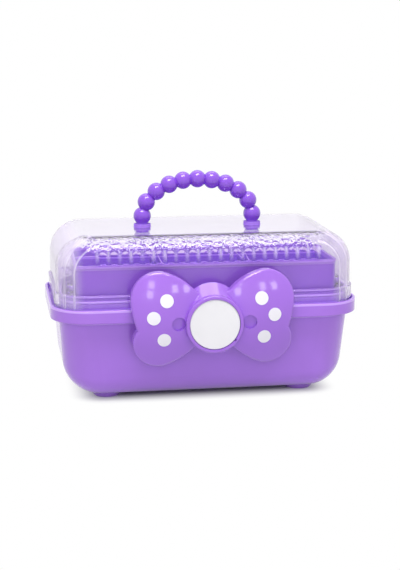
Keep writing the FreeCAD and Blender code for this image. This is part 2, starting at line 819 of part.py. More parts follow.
def make_tray(label, base, top, corner, columns, rows, pivots, bead):
    body = doc.addObject("PartDesign::Body", label + "_body")
    outline = body_sketch(body, label + "_outline", "XY_Plane", base)
    half_x, half_y, wall = tray_half_x, tray_half_y, cell("tray_wall")
    rounded_rectangle(outline, half_x, half_y, corner, ZERO, tray_middle_y)
    pad(body, label + "_blank", outline, top - base)
    if bead:
        lip = body_sketch(body, label + "_lip_plan", "XY_Plane", top - cell("lip_bead_height"))
        out = cell("lip_bead")
        rounded_rectangle(lip, half_x + out, half_y + out, corner + out, ZERO, tray_middle_y)
        pad(body, label + "_lip", lip, cell("lip_bead_height"))
    plan = body_sketch(body, label + "_inside", "XY_Plane", top)
    rounded_rectangle(plan, half_x - wall, half_y - wall, corner - wall, ZERO, tray_middle_y)
    doc.recompute()
    volume = body.Shape.Volume
    floor_top = base + cell("tray_floor")
    hollow = pocket(body, label + "_hollow", plan, top - floor_top)
    must_cut(body, hollow, volume)
    holes = body_sketch(body, label + "_pivots", "YZ_Plane")
    for pivot_y, pivot_z, radius in pivots:
        circle(holes, pivot_y, pivot_z, radius)
    volume = body.Shape.Volume
    drilled = pocket(
        body, label + "_drilled", holes, (half_x + cell("overcut")) * 2, both_ways=True)
    must_cut(body, drilled, volume)
    height = top - floor_top - cell("partition_drop")
    reach = cell("tray_wall") * 0.5
    across = [(half_x * (2 * number / columns - 1), tray_middle_y) for number in range(1, columns)]
    partition_walls(body, label + "_across", floor_top, height, across, reach, half_y - reach)
    if rows > 1:
        along = [(ZERO, tray_middle_y + half_y * (2 * number / rows - 1)) for number in range(1, rows)]
        partition_walls(body, label + "_along", floor_top, height, along, half_x - reach, reach)
    finish(label, body)


make_tray(
    "upper_tray", upper_base, upper_top, cell("upper_corner"), 3, 2,
    [(upper_pin_y, upper_pin_z, cell("arm_pin_radius")), (lid_pivot_y, lid_pivot_z, hole_radius)],
    bead=True)
make_tray(
    "lower_tray", lower_base, lower_top, cell("lower_corner"), 4, 1,
    [(front_lower_pin_y, lower_pin_z, cell("arm_pin_radius")),
     (rear_lower_pin_y, lower_pin_z, cell("arm_pin_radius"))],
    bead=False)


# Arms: flat links at both ends of the trays

def make_arm(label, side_x, start, end, holes):
    body = doc.addObject("PartDesign::Body", label + "_body")
    inner_face = arm_inner_x if side_x > 0 else -arm_outer_x
    outline = body_sketch(body, label + "_outline", "YZ_Plane", inner_face)
    stadium(outline, start, end, cell("arm_half_width"))
    for pivot_y, pivot_z in holes:
        circle(outline, pivot_y, pivot_z, hole_radius)
    pad(body, label + "_plate", outline, cell("arm_thick"))
    finish(label, body)


front_pivot = (front_arm_y, arm_pivot_z)
rear_pivot = (rear_arm_y, arm_pivot_z)
upper_pin = (upper_pin_y, upper_pin_z)
front_lower_pin = (front_lower_pin_y, lower_pin_z)
rear_lower_pin = (rear_lower_pin_y, lower_pin_z)
for side_x, side in LEFT_AND_RIGHT:
    make_arm("front_arm_" + side, side_x, front_pivot, upper_pin, [front_pivot, front_lower_pin, upper_pin])
    make_arm("rear_arm_" + side, side_x, rear_pivot, rear_lower_pin, [rear_pivot, rear_lower_pin])


# Pins: stepped studs along X, pressed into a tray, the tub or the lid

def stepped_pin(label, side_x, place, steps):
    """A pin of cylinders in a row: each step is its inner x, outer x and radius."""
    pieces = []
    for index, (inner, outer, radius) in enumerate(steps):
        start = inner if side_x > 0 else -as_measure(outer)
        length = as_measure(outer) - inner
        name = "%s_step_%d" % (label, index)
        pieces.append(cylinder(name, radius, length, start, place[0], place[1], "x"))
    finish(label, fuse(label + "_pin", pieces))


pin_radius, gap = cell("arm_pin_radius"), cell("pin_side_gap")
head_radius, head_thick = pin_radius + cell("pin_head_lip"), cell("pin_head_thick")
wall_inside = tray_half_x - cell("tray_wall")
collar_outer = lip_half_x - cell("lip_wall") - cell("pivot_collar_gap")
hinge_near = hinge_x - cell("lid_knuckle_half")
hinge_far = hinge_x + cell("lid_knuckle_half")
for side_x, side in LEFT_AND_RIGHT:
    tray_steps = [
        (wall_inside, tray_half_x, pin_radius),
        (tray_half_x, arm_inner_x - gap, head_radius),
        (arm_inner_x - gap, arm_outer_x + gap, pin_radius),
        (arm_outer_x + gap, arm_outer_x + gap + head_thick, head_radius),
    ]
    for name, place in (
            ("upper_tray_pin", upper_pin),
            ("lower_tray_front_pin", front_lower_pin),
            ("lower_tray_rear_pin", rear_lower_pin)):
        stepped_pin("%s_%s" % (name, side), side_x, place, tray_steps)
    tub_steps = [
        (arm_inner_x - gap - head_thick, arm_inner_x - gap, head_radius),
        (arm_inner_x - gap, arm_outer_x + gap, pin_radius),
        (arm_outer_x + gap, collar_outer, head_radius),
        (collar_outer, tub_half_x - cell("arm_pin_inset"), pin_radius),
    ]
    for name, place in (("front_arm_pivot", front_pivot), ("rear_arm_pivot", rear_pivot)):
        stepped_pin("%s_%s" % (name, side), side_x, place, tub_steps)
    lid_steps = [
        (wall_inside - gap - head_thick, wall_inside - gap, head_radius),
        (wall_inside - gap, boss_inner_x + cell("lid_boss_bore"), pin_radius),
    ]
    stepped_pin("lid_tray_pin_" + side, side_x, (lid_pivot_y, lid_pivot_z), lid_steps)
    hinge_steps = [
        (hinge_near, hinge_far, cell("hinge_pin_radius")),
        (hinge_far, hinge_far + head_thick, head_radius),
    ]
    stepped_pin("hinge_pin_" + side, side_x, (hinge_y, hinge_z), hinge_steps)


# Handle: an arch of fused beads on two spigots, held from below by buttons and screws

def arch_places():
    """Bead centres evenly spaced along half an ellipse, from the left end to the right."""
    span, rise = cell("handle_half_span").number, cell("handle_rise").number
    samples = 2000
    points = []
    for index in range(samples + 1):
        turn = math.pi * (1 - index / samples)
        points.append((span * math.cos(turn), rise * math.sin(turn)))
    lengths = [0.0]
    for before, after in zip(points, points[1:]):
        lengths.append(lengths[-1] + math.dist(before, after))
    places = []
    count = int(cell("bead_count").number)
    for bead in range(count):
        target = lengths[-1] * bead / (count - 1)
        nearest = min(range(samples + 1), key=lambda index: abs(lengths[index] - target))
        places.append(points[nearest])
    return places


def make_handle():
    beads = []
    for number, (x, rise) in enumerate(arch_places()):
        beads.append(sphere(
            "bead_%d" % number, cell("bead_radius"), as_measure(x), handle_y, handle_base_z + rise))
    bead = cell("bead_radius") * 2
    trim_half = cell("handle_half_span") + bead
    below = box(
        "handle_trim", -trim_half, trim_half, handle_y - bead, handle_y + bead,
        handle_seat_top - bead, handle_seat_top)
    arch = cut("handle_arch", fuse("beads", beads), below)
    spigot_end = lid_inner_top - cell("button_recess")
    screw_head_radius = cell("handle_screw_radius") + cell("screw_head_lip")
    spigots = []
    pilots = []
    for side_x, side in LEFT_AND_RIGHT:
        seat_x = cell("handle_half_span") * side_x
        spigots.append(cylinder(
            "spigot_" + side, cell("spigot_radius"), handle_base_z - spigot_end, seat_x, handle_y,
            spigot_end, "z"))
        screw_base = button_base_z + cell("screw_clearance")
        pilots.append(cylinder(
            "pilot_" + side, cell("handle_screw_radius"), cell("handle_screw_length"),
            seat_x, handle_y, screw_base + cell("screw_head_height"), "z"))
        disc = cylinder(
            "button_disc_" + side, cell("button_radius"), cell("button_height"),
            seat_x, handle_y, button_base_z, "z")
        recess = cylinder(
            "button_recess_" + side, cell("spigot_radius") + cell("pin_clearance"),
            cell("button_recess"), seat_x, handle_y, spigot_end, "z")
        sink = cylinder(
            "button_sink_" + side, screw_head_radius + cell("screw_clearance"),
            cell("screw_head_height") + cell("screw_clearance"), seat_x, handle_y, button_base_z, "z")
        through = cylinder(
            "button_hole_" + side, cell("handle_screw_radius") + cell("screw_clearance"),
            cell("button_height"), seat_x, handle_y, button_base_z, "z")
        openings = fuse("button_openings_" + side, [recess, sink, through])
        finish("handle_button_" + side, cut("button_" + side, disc, openings))
        cap = cylinder(
            "screw_head_" + side, screw_head_radius, cell("screw_head_height"),
            seat_x, handle_y, screw_base, "z")
        shank = cylinder(
            "screw_shank_" + side, cell("handle_screw_radius"),
            cell("screw_head_height") + cell("handle_screw_length"), seat_x, handle_y,
            screw_base, "z")
        finish("handle_screw_" + side, fuse("screw_" + side, [cap, shank]))
    finish("handle", cut("handle_body", fuse("handle_solid", [arch] + spigots), fuse("pilots", pilots)))


make_handle()


# Bow clasp: two hollow domed lobes a side, a knot with a ring, badge, dots and pin

def lobe_outline(name, side_x, inset, forward):
    """The outline of one side of the bow, drawn inside its edge by the inset."""
    sketch = front_sketch(name, forward)
    upper = (cell("upper_lobe_x").number, (ring_z + cell("upper_lobe_rise")).number)
    lower = (cell("lower_lobe_x").number, (ring_z - cell("lower_lobe_drop")).number)
    upper_radius = cell("upper_lobe_radius").number - inset
    lower_radius = cell("lower_lobe_radius").number - inset

    def on_circle(centre, radius, *turns):
        """A point of a circle at a turn in degrees, or halfway between two turns."""
        angle = math.radians(sum(turns) / len(turns))
        return centre[0] + radius * math.cos(angle), centre[1] + radius * math.sin(angle)

    def between(first, last, alias):
        """The middle of two points, pushed to the left of the way between them."""
        bulge = cell(alias).number
        step_x, step_z = last[0] - first[0], last[1] - first[1]
        length = math.hypot(step_x, step_z)
        middle_x, middle_z = (first[0] + last[0]) / 2, (first[1] + last[1]) / 2
        return middle_x - step_z / length * bulge, middle_z + step_x / length * bulge

    crown_turn, flank_turn = cell("crown_turn").number, cell("flank_turn").number
    waist_turn, sole_turn = cell("waist_turn").number, cell("sole_turn").number
    join_top = (cell("upper_join_x").number, (ring_z + cell("upper_join_rise")).number - inset)
    crown = on_circle(upper, upper_radius, crown_turn)
    flank = on_circle(upper, upper_radius, flank_turn)
    waist = on_circle(lower, lower_radius, waist_turn)
    sole = on_circle(lower, lower_radius, sole_turn)
    join_low = (cell("lower_join_x").number, (ring_z - cell("lower_join_drop")).number + inset)
    inner_x = cell("knot_wall").number + inset
    inner_top = (inner_x, join_top[1] - cell("upper_join_depth").number)
    inner_low = (inner_x, join_low[1] + cell("lower_join_depth").number)
    runs = [
        (inner_top, None, join_top),
        (join_top, between(join_top, crown, "upper_join_bulge"), crown),
        (crown, on_circle(upper, upper_radius, crown_turn, flank_turn), flank),
        (flank, between(flank, waist, "waist_bulge"), waist),
        (waist, on_circle(lower, lower_radius, waist_turn, sole_turn), sole),
        (sole, between(sole, join_low, "lower_join_bulge"), join_low),
        (join_low, None, inner_low),
        (inner_low, None, inner_top),
    ]
    for first, middle, last in runs:
        ends = [vector(point[0] * side_x, point[1], 0) for point in (first, last)]
        if middle is None:
            sketch.addGeometry(Part.LineSegment(*ends))
        else:
            through = vector(middle[0] * side_x, middle[1], 0)
            sketch.addGeometry(Part.ArcOfCircle(ends[0], through, ends[1]))
    for index in range(len(runs)):
        sketch.addConstraint(Sketcher.Constraint("Block", index))
    return sketch


dome_x = cell("bow_dome_x")
dome_y = cell("bow_dome_radius") - bow_dome_front
dome_z = ring_z + cell("bow_dome_rise")


def dome(name, side_x, radius_change):
    """The ball whose front gives a side of the bow its swell."""
    return sphere(name, cell("bow_dome_radius") + radius_change, dome_x * side_x, dome_y, dome_z)


def make_lobes(side_x, side):
    """One side of the bow, its edge rounded, and the hollow behind it."""
    wall, overcut = cell("bow_wall"), cell("overcut")
    blank = prism(
        "lobe_blank_" + side, lobe_outline("lobe_outline_" + side, side_x, 0.0, bow_back),
        ring_front - bow_back)
    swelled = common("lobe_swelled_" + side, [blank, dome("dome_" + side, side_x, 0)])
    centre = vector(dome_x * side_x, dome_y, dome_z)

    def swell_edge(edge):
        """An edge where the swell meets the side wall: all of it lies on the ball."""
        for place in (edge.FirstParameter, edge.LastParameter):
            reach = edge.valueAt(place).distanceToPoint(centre)
            if abs(reach - cell("bow_dome_radius").number) > 0.01:
                return None
        return cell("bow_edge_round").number, cell("bow_edge_round").number

    lobe = round_edges("lobe_" + side, swelled, swell_edge)
    core = prism(
        "lobe_core_" + side,
        lobe_outline("core_outline_" + side, side_x, wall.number, bow_back - overcut),
        ring_front - bow_back)
    swelled_core = common("core_swelled_" + side, [core, dome("core_dome_" + side, side_x, -wall)])
    backing = cell("dimple_depth") + wall + cell("join_depth")
    pad_behind = cylinder(
        "dimple_pad_" + side, cell("dimple_radius") + wall, ring_front - bow_dome_front + backing,
        cell("dimple_x") * side_x, -ring_front, ring_z + cell("dimple_rise"), "y")
    return lobe, cut("lobe_hollow_" + side, swelled_core, pad_behind)


def circle_section(name, forward, height, radius):
    sketch = front_sketch(name, forward)
    circle(sketch, ZERO, height, radius)
    return sketch


def knot_loft(name, sections):
    loft = doc.addObject("Part::Loft", name)
    loft.Sections = sections
    loft.Solid = True
    loft.Ruled = True
    return loft


def front_edges(forward, radius):
    """A choice of the edges that lie in an upright plane this far forward."""
    def chosen(edge):
        limits = edge.BoundBox
        if abs(limits.YMin + float(forward)) < 0.01 and limits.YLength < 0.01:
            return float(radius), float(radius)
        return None

    return chosen


def make_knot(side_hollows):
    """The knot's outside with its ring, and all that is cut from the front and the back."""
    overcut = cell("overcut")
    knot = knot_loft("knot", [
        circle_section("knot_back", bow_back, knot_back_z, cell("knot_radius")),
        circle_section("knot_front", ring_back, ring_z, cell("knot_radius")),
    ])
    collar = cylinder(
        "collar", cell("knot_radius"), cell("ring_depth"), ZERO, -ring_front, ring_z, "y")
    rounded_collar = round_edges("ring_collar", collar, front_edges(ring_front, cell("ring_round")))
    inner_radius = cell("knot_radius") - cell("knot_wall")
    hollow_front = badge_seat - cell("knot_plate")
    knot_hollow = knot_loft("knot_hollow", [
        circle_section("hollow_back", bow_back - cell("join_depth"), knot_back_z, inner_radius),
        circle_section("hollow_front", hollow_front, ring_z + cell("knot_hollow_rise"), inner_radius),
    ])
    front = -ring_front - overcut
    recess_radius = badge_radius + cell("badge_gap")
    recess_depth = ring_front - badge_seat + overcut
    recess = cylinder("badge_recess", recess_radius, recess_depth, ZERO, front, ring_z, "y")
    turn = math.radians(cell("notch_turn").number)
    notch = cylinder(
        "badge_notch", cell("notch_radius"), recess_depth, recess_radius * round(math.cos(turn), 4),
        front, ring_z - recess_radius * round(math.sin(turn), 4), "y")
    return [knot, rounded_collar], side_hollows + [knot_hollow, recess, notch]


def make_recesses(side_x, side):
    """The dimple and the three dot wells of one side, and the dots that fill the wells."""
    front = -ring_front - cell("overcut")
    length = ring_front - bow_back
    shaft = cylinder(
        "dimple_" + side, cell("dimple_radius"), length, cell("dimple_x") * side_x, front,
        ring_z + cell("dimple_rise"), "y")
    floor = dome("dimple_floor_" + side, side_x, -cell("dimple_depth"))
    wells = [cut("dimple_cut_" + side, shaft, floor)]
    for name in ("one", "two", "three"):
        label = "%s_%s" % (name, side)
        shaft = cylinder(
            "dot_shaft_" + label, cell("dot_radius"), length, cell("dot_%s_x" % name) * side_x,
            front, ring_z + cell("dot_%s_rise" % name), "y")
        well = cut("dot_well_" + label, shaft, dome("dot_floor_" + label, side_x, -cell("dot_depth")))
        wells.append(well)
        skin = dome("dot_skin_" + label, side_x, cell("dot_proud"))
        finish("bow_dot_" + label, common("dot_" + label, [well, skin]))
    return wells


def make_hook():
    """The hook behind the knot that reaches over the lid's band."""
    low = band_high + cell("hook_clearance")
    high = low + cell("hook_thick")
    tip = lid_half_y + cell("band_out") + cell("hook_reach_gap")
    root = knot_back_z + cell("knot_radius") - cell("hook_root_drop")
    return side_profile("hook", [(polygon, [
        (-bow_back - cell("hook_thick"), low),
        (-tip, low),
        (-tip, low + cell("hook_nose")),
        (-tip - cell("hook_lead"), high),
        (-bow_back, high + cell("join_depth")),
        (-bow_back, root),
        (-bow_back - cell("hook_thick"), root),
    ])], ZERO, cell("hook_half_x"))


def make_bow():
    """The clasp: both sides of the bow, the knot, its ring, recesses, hook and bearings."""
    outsides, hollows, wells = [], [], []
    for side_x, side in LEFT_AND_RIGHT:
        lobe, hollow = make_lobes(side_x, side)
        outsides.append(lobe)
        hollows.append(hollow)
        wells.extend(make_recesses(side_x, side))
    knot, removed = make_knot(hollows)
    solid = fuse("bow_solid", outsides + knot)
    hollowed = cut("bow_hollowed", solid, fuse("bow_removed", removed + wells))
    bearing_x = lug_outer_x + cell("bearing_gap") + cell("bearing_thick") * 0.5
    bearings = []
    for side_x, side in LEFT_AND_RIGHT:
        bearings.append(side_profile("bearing_" + side, [
            (stadium, (-latch_y, latch_z), (-latch_y - cell("bearing_reach"), latch_z),
             cell("lug_radius")),
            (circle, -latch_y, latch_z, cell("latch_pin_radius") + cell("pin_clearance")),
        ], bearing_x * side_x, cell("bearing_thick") * 0.5))
    finish("bow_clasp", fuse("bow_body", [hollowed, make_hook()] + bearings))
    badge_front = badge_seat + cell("badge_thick")
    badge = cylinder(
        "badge_disc", badge_radius, cell("badge_thick"), ZERO, -badge_front, ring_z, "y")
    finish("bow_badge", round_edges(
        "badge", badge, front_edges(badge_front, cell("badge_edge_round"))))
    pin_end = bearing_x + cell("bearing_thick") * 0.5 + cell("join_depth")
    rod = cylinder(
        "clasp_rod", cell("latch_pin_radius"), pin_end * 2, -pin_end, -latch_y, latch_z, "x")
    rivet = cylinder(
        "clasp_rivet", cell("latch_pin_radius") + cell("rivet_lip"), cell("rivet_lip"), pin_end,
        -latch_y, latch_z, "x")
    finish("clasp_pin", fuse("clasp_pin_body", [rod, rivet]))


make_bow()

# Check and write

def check_document():
    """Stop if an object failed to recompute or a sub-part's shape is unusable."""
    doc.recompute()
    for thing in doc.Objects:
        for state in ("Invalid", "Error"):
            if state in thing.State:
                raise RuntimeError("%s did not recompute" % thing.Name)
    for thing in SUB_PARTS:
        if thing.Shape.isNull() or not thing.Shape.isValid():
            raise RuntimeError("%s has no valid shape" % thing.Label)


check_document()
os.makedirs("parts", exist_ok=True)
for thing in SUB_PARTS:
    thing.Shape.exportStep("parts/%s.step" % thing.Label)
    print(thing.Label, len(thing.Shape.Solids), "solids", round(thing.Shape.Volume), "mm3")
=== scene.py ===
import math

import bpy
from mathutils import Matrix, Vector


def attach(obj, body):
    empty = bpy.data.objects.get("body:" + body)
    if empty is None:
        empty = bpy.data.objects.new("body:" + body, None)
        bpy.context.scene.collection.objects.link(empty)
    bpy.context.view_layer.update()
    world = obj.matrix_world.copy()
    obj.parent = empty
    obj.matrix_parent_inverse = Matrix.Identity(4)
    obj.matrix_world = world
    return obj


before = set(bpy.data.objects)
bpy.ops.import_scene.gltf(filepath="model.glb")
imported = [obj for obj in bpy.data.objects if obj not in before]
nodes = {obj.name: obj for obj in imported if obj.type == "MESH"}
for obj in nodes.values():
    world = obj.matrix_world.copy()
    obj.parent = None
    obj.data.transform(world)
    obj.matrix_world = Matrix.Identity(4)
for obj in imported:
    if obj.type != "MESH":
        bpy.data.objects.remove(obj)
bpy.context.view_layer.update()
scene = bpy.context.scene
scene.view_settings.view_transform = "Standard"


# Colours as they are seen, turned into the linear values that shaders take

def linear(red, green, blue):
    def channel(value):
        value = value / 255
        return value / 12.92 if value <= 0.04045 else ((value + 0.055) / 1.055) ** 2.4

    return channel(red), channel(green), channel(blue), 1.0


TUB_PURPLE = linear(165, 110, 223)
TRAY_PURPLE = linear(146, 82, 212)
# Painted highlight colour for the tray's top edge
TRAY_HIGHLIGHT = linear(186, 138, 236)
BOW_PURPLE = linear(152, 98, 210)
BEAD_PURPLE = linear(136, 78, 212)
DISC_WHITE = linear(234, 233, 236)
DOT_WHITE = linear(238, 236, 243)
# Painted highlight colour for the rim's edges and the riser's ribs
RIM_HIGHLIGHT = linear(204, 160, 250)
STEEL_GREY = linear(186, 187, 190)
CLEAR_TINT = linear(250, 247, 254)
CLEAR_MIRROR = (0.80, 0.75, 0.88, 1.0)
HAZE_AND_HIGHLIGHT = linear(240, 230, 250)
SEAT_PURPLE = linear(178, 136, 236)


# Materials

class Nodes:
    """A small helper that adds and joins the nodes of one material."""

    def __init__(self, name, tree=None):
        if tree is None:
            self.material = bpy.data.materials.new(name)
            self.material.use_nodes = True
            tree = self.material.node_tree
        self.tree = tree
        self.tree.nodes.clear()
        self.place = 0

    def add(self, kind, **settings):
        node = self.tree.nodes.new(kind)
        node.location = (self.place, 0)
        self.place += 200
        for name, value in settings.items():
            setattr(node, name, value)
        return node

    def join(self, source, target):
        self.tree.links.new(source, target)

    def noise(self, coordinates, scale, detail=3.0, roughness=0.5):
        node = self.add("ShaderNodeTexNoise")
        node.inputs["Scale"].default_value = scale
        node.inputs["Detail"].default_value = detail
        node.inputs["Roughness"].default_value = roughness
        self.join(coordinates, node.inputs["Vector"])
        return node.outputs["Fac"]

    def spread(self, value, low, high):
        node = self.add("ShaderNodeMapRange")
        node.inputs["From Min"].default_value = 0.3
        node.inputs["From Max"].default_value = 0.7
        node.inputs["To Min"].default_value = low
        node.inputs["To Max"].default_value = high
        self.join(value, node.inputs["Value"])
        return node.outputs["Result"]

    def two_tones(self, value, first, second):
        node = self.add("ShaderNodeMix", data_type="RGBA")
        self.join(self.spread(value, 0.0, 1.0), node.inputs[0])
        node.inputs[6].default_value = first
        node.inputs[7].default_value = second
        return node.outputs[2]

    def bump(self, value, strength, distance, normal=None):
        node = self.add("ShaderNodeBump")
        node.inputs["Strength"].default_value = strength
        node.inputs["Distance"].default_value = distance
        self.join(value, node.inputs["Height"])
        if normal:
            self.join(normal, node.inputs["Normal"])
        return node.outputs["Normal"]

    def soft_edges(self, radius):
        node = self.add("ShaderNodeBevel", samples=6)
        node.inputs["Radius"].default_value = radius
        return node.outputs["Normal"]

    def math(self, operation, first, second=None, constant=None):
        node = self.add("ShaderNodeMath", operation=operation)
        self.join(first, node.inputs[0])
        if second is not None:
            self.join(second, node.inputs[1])
        if constant is not None:
            node.inputs[1].default_value = constant
        return node.outputs[0]

    def rise(self, value, start, end):
        """A smooth step from 0 at the start to 1 at the end."""
        node = self.add("ShaderNodeMapRange", interpolation_type="SMOOTHSTEP")
        node.inputs["From Min"].default_value = start
        node.inputs["From Max"].default_value = end
        self.join(value, node.inputs["Value"])
        return node.outputs["Result"]

    def seen_rays(self):
        """1 for rays that show a surface as a picture: direct, mirrored or through glass."""
        path = self.add("ShaderNodeLightPath")
        mirrored = self.math("MAXIMUM", path.outputs["Is Camera Ray"], path.outputs["Is Glossy Ray"])
        return self.math("MAXIMUM", mirrored, path.outputs["Is Transmission Ray"])


def scaled(colour, factor):
    return tuple(min(1.0, part * factor) for part in colour[:3]) + (1.0,)


# Painted highlight bands, standing in for the light caught along the rolled edges: lowest, highest and how far
# they fade
TRAY_HIGHLIGHT_BANDS = ((0.1054, 0.1080, 0.0008),)
RISER_HIGHLIGHT_BANDS = ((0.0853, 0.0864, 0.0004), (0.0806, 0.0818, 0.0004))
RIM_HIGHLIGHT_BANDS = ((0.0744, 0.0756, 0.0005), (0.0640, 0.0648, 0.0006))


def plastic(name, colour, roughness, coat=0.25, edge=None, lip=None, highlight_bands=()):
    """Glossy moulded plastic: faint flow tones, an uneven polish, softly rounded edges and, at the listed heights,
    bands of painted highlight in the lip colour.
    """
    work = Nodes(name)
    where = work.add("ShaderNodeTexCoord").outputs["Object"]
    tone = work.noise(where, 22.0, 2.0)
    polish = work.noise(where, 60.0, 4.0, 0.6)
    peel = work.noise(where, 90.0, 1.0)
    shader = work.add("ShaderNodeBsdfPrincipled")
    body = work.two_tones(tone, scaled(colour, 0.97), scaled(colour, 1.03))
    # Painted highlight: each band of heights takes the lighter lip colour in place of the body colour
    for low, high, fade in highlight_bands:
        place = work.add("ShaderNodeSeparateXYZ")
        work.join(where, place.inputs[0])
        above = work.rise(place.outputs["Z"], low - fade, low)
        below = work.rise(place.outputs["Z"], high + fade, high)
        highlit = work.add("ShaderNodeMix", data_type="RGBA")
        work.join(work.math("MULTIPLY", above, below), highlit.inputs[0])
        work.join(body, highlit.inputs[6])
        highlit.inputs[7].default_value = lip
        body = highlit.outputs[2]
    work.join(body, shader.inputs["Base Color"])
    work.join(work.spread(polish, roughness * 0.85, roughness * 1.2), shader.inputs["Roughness"])
    normal = work.bump(peel, 0.1, 0.00004, work.soft_edges(edge) if edge else None)
    work.join(normal, shader.inputs["Normal"])
    work.join(normal, shader.inputs["Coat Normal"])
    shader.inputs["IOR"].default_value = 1.5
    shader.inputs["Coat Weight"].default_value = coat
    shader.inputs["Coat Roughness"].default_value = 0.06
    output = work.add("ShaderNodeOutputMaterial")
    work.join(shader.outputs[0], output.inputs["Surface"])
    return work.material


# The hammered band over the front flutes: heights, depth and width where it fades in
PEBBLE_START = (0.1180, 0.1205)
PEBBLE_END = (0.1325, 0.1310)
PEBBLE_FRONT = (-0.038, -0.043)
PEBBLE_SIDE = (0.100, 0.090)
PEBBLE_STRETCH = (420.0, 420.0, 150.0)

# The flutes under the band: their pitch, the painted highlight lines between them and their tint
FLUTE_PITCH = 0.0087
FLUTE_FOOT = (0.1085, 0.1100)
FLUTE_HEAD = (0.1215, 0.1195)
FLUTE_FRONT = (-0.045, -0.050)
FLUTE_SIDE = (0.092, 0.086)
FLUTE_TINT = linear(222, 199, 247)
FLUTE_HIGHLIGHT_LINE = (0.0024, 0.0)
FLUTE_FADE = (0.1085, 0.1215)
FLUTE_HIGHLIGHT_SHARE = 0.45

# The ends of the lid are milkier than its front, top and back
HAZE_ENDS = (0.096, 0.106)
HAZE_SHARES = (0.03, 0.22)

# The front corners' painted highlight lines, for the steps there, as distances from the middle of the corner's
# rounding
CORNER_X = 0.0830
CORNER_Z = 0.1030
CORNER_SIDE = (0.082, 0.090)
CORNER_FRONT = (-0.030, -0.040)
CORNER_HIGHLIGHT_RADII = (0.0215, 0.0285)

# The seats under the end beads show the beads' purple
SEAT_X = 0.0451
SEAT_Y = 0.00225
SEAT_RIM = (0.0074, 0.0069)
SEAT_FOOT = (0.1287, 0.1292)


def clear_shell(work, normal, rough_low, rough_high, tinted=None):
    """A clear polished shader whose shadow rays pass, so that lamps light what is inside."""
    where = work.add("ShaderNodeTexCoord").outputs["Object"]
    polish = work.noise(where, 45.0, 4.0, 0.6)
    shader = work.add("ShaderNodeBsdfPrincipled")
    if tinted is None:
        shader.inputs["Base Color"].default_value = CLEAR_TINT
    else:
        tint = work.add("ShaderNodeMix", data_type="RGBA")
        work.join(tinted, tint.inputs[0])
        tint.inputs[6].default_value = CLEAR_TINT
        tint.inputs[7].default_value = FLUTE_TINT
        work.join(tint.outputs[2], shader.inputs["Base Color"])
    shader.inputs["Transmission Weight"].default_value = 1.0
    shader.inputs["IOR"].default_value = 1.38
    shader.inputs["Specular Tint"].default_value = CLEAR_MIRROR
    work.join(work.spread(polish, rough_low, rough_high), shader.inputs["Roughness"])
    work.join(normal, shader.inputs["Normal"])
    passing = work.add("ShaderNodeBsdfTransparent")
    passing.inputs["Color"].default_value = CLEAR_TINT
    path = work.add("ShaderNodeLightPath")
    mix = work.add("ShaderNodeMixShader")
    work.join(work.math("MAXIMUM", path.outputs["Is Shadow Ray"], path.outputs["Is Diffuse Ray"]), mix.inputs[0])
    work.join(shader.outputs[0], mix.inputs[1])
    work.join(passing.outputs[0], mix.inputs[2])
    return mix.outputs[0]


def blended(work, share, first, second):
    mix = work.add("ShaderNodeMixShader")
    if isinstance(share, float):
        mix.inputs[0].default_value = share
    else:
        work.join(share, mix.inputs[0])
    work.join(first, mix.inputs[1])
    work.join(second, mix.inputs[2])
    return mix.outputs[0]


